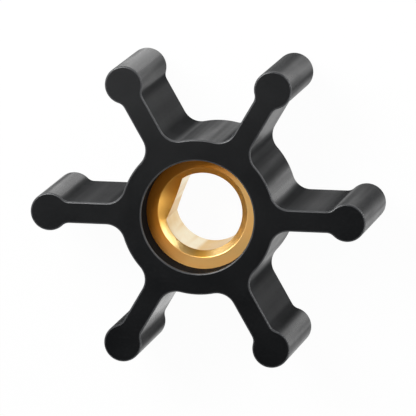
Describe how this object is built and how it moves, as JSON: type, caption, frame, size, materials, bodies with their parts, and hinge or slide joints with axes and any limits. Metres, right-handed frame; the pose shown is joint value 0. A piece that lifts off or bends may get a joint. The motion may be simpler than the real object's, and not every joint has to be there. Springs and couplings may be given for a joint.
{
  "type": "rubber pump impeller",
  "caption": "Flexible rubber pump impeller: straight blades with round bulb ends round a hub, moulded on a brass insert with a D-shaped shaft bore.",
  "frame": {"origin": "on the axis of rotation, in the plane of the back face that the impeller lies on", "axes": "+Z along the axis of rotation, from the back face to the front face; +X along one blade"},
  "size_m": [0.0412, 0.0364, 0.0153],
  "materials": {
    "rubber": "satin moulded black rubber",
    "brass": "fine turned, bare"
  },
  "bodies": {
    "root": {"rubber_impeller": "rubber", "brass_insert": "brass"}
  },
  "joints": []
}
